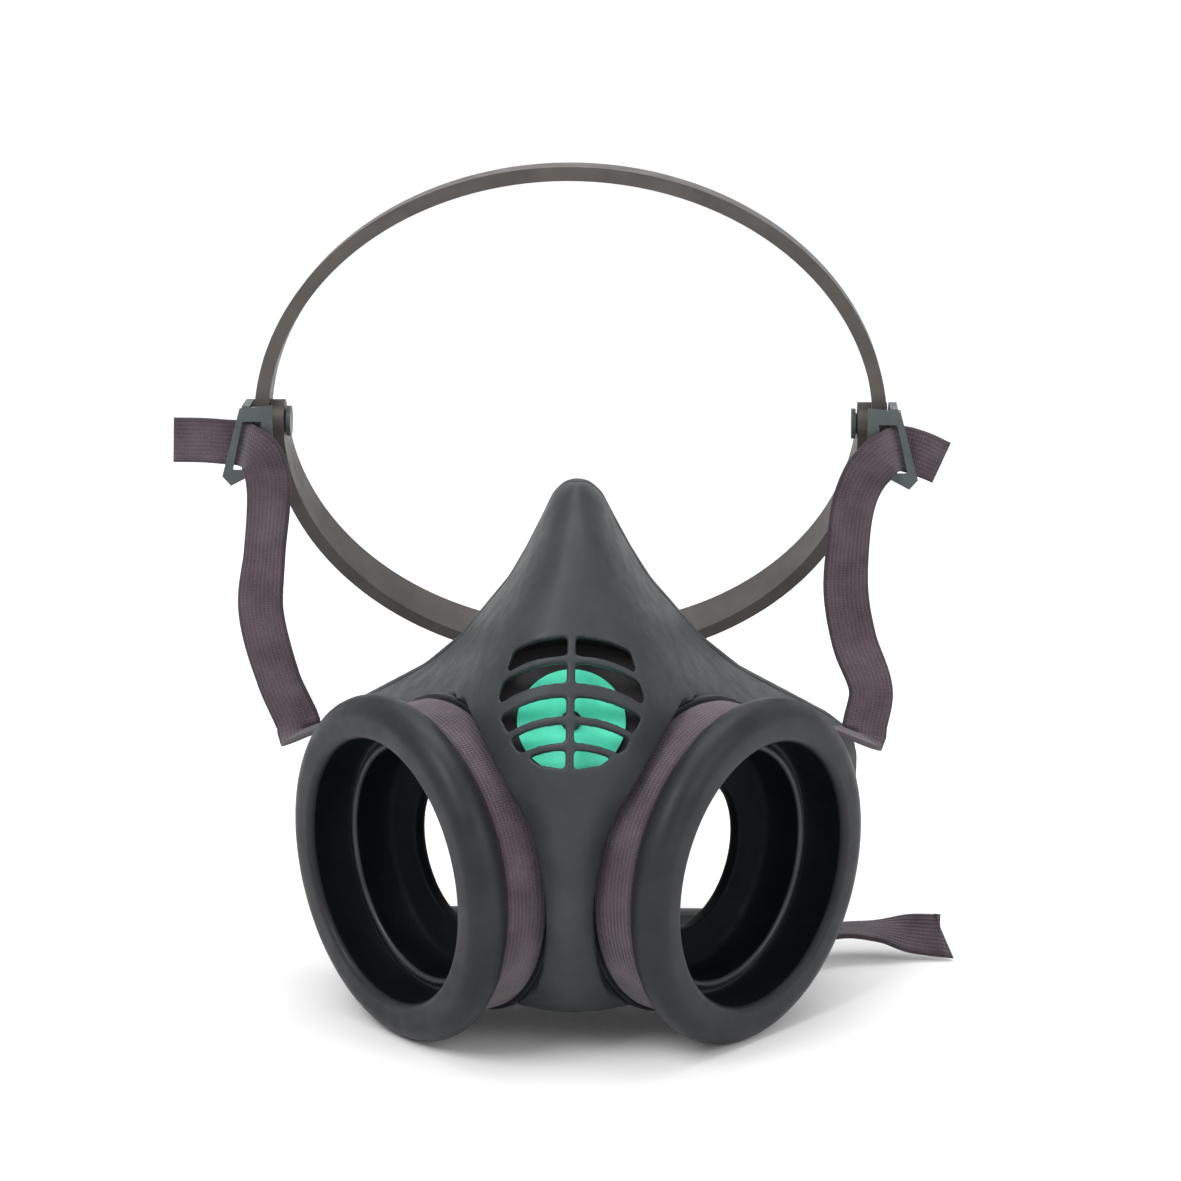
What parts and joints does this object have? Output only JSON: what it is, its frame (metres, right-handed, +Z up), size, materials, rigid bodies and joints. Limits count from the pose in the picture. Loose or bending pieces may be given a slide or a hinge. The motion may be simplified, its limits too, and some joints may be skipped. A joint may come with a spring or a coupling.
{
  "type": "respirator",
  "caption": "Soft half-mask respirator facepiece with filter ports, an exhalation valve, elastic straps and a head cradle",
  "frame": {"origin": "middle of the object's bounding box in X and Y, on the surface it stands on", "axes": "+X the viewer's right, +Y from the front of the facepiece to the wearer's face, +Z up"},
  "size_m": [0.18, 0.1384, 0.1861],
  "materials": {
    "facepiece_rubber": "satin moulded elastomer",
    "valve_rubber": "smooth silicone",
    "valve_plastic": "matte moulded",
    "elastic_strap": "woven elastic webbing",
    "cradle_plastic": "satin flexible moulding",
    "buckle_plastic": "satin moulded"
  },
  "bodies": {
    "facepiece": {"facepiece_shell": "facepiece_rubber", "face_seal": "facepiece_rubber", "left_filter_port": "facepiece_rubber", "right_filter_port": "facepiece_rubber", "valve_guard": "facepiece_rubber", "valve_seat": "valve_plastic", "left_wrap_strap": "elastic_strap", "right_wrap_strap": "elastic_strap", "left_neck_strap": "elastic_strap", "right_neck_strap": "elastic_strap"},
    "exhalation_valve": {"valve_disc": "valve_rubber", "valve_button": "valve_plastic"},
    "harness_straps": {"left_riser_strap": "elastic_strap", "right_riser_strap": "elastic_strap", "left_strap_tail": "elastic_strap", "right_strap_tail": "elastic_strap", "left_buckle": "buckle_plastic", "right_buckle": "buckle_plastic", "left_swivel_stud": "buckle_plastic", "right_swivel_stud": "buckle_plastic"},
    "head_cradle": {"crown_band": "cradle_plastic", "nape_band": "cradle_plastic"}
  },
  "joints": [
    {"name": "valve_lift", "type": "slide", "parent": "facepiece", "child": "exhalation_valve", "axis": [0, -0.866, 0.5], "range_m": [0, 0.0013], "stiffness_N_per_m": 30},
    {"name": "harness_fold", "type": "hinge", "parent": "facepiece", "child": "harness_straps", "pos_m": [0.0047, 0.01215, 0.058], "axis": [1, 0, 0], "range_deg": [-60, 20]},
    {"name": "cradle_swivel", "type": "hinge", "parent": "harness_straps", "child": "head_cradle", "pos_m": [0.0017, 0.03235, 0.1265], "axis": [1, 0, 0], "range_deg": [-15, 25]}
  ]
}
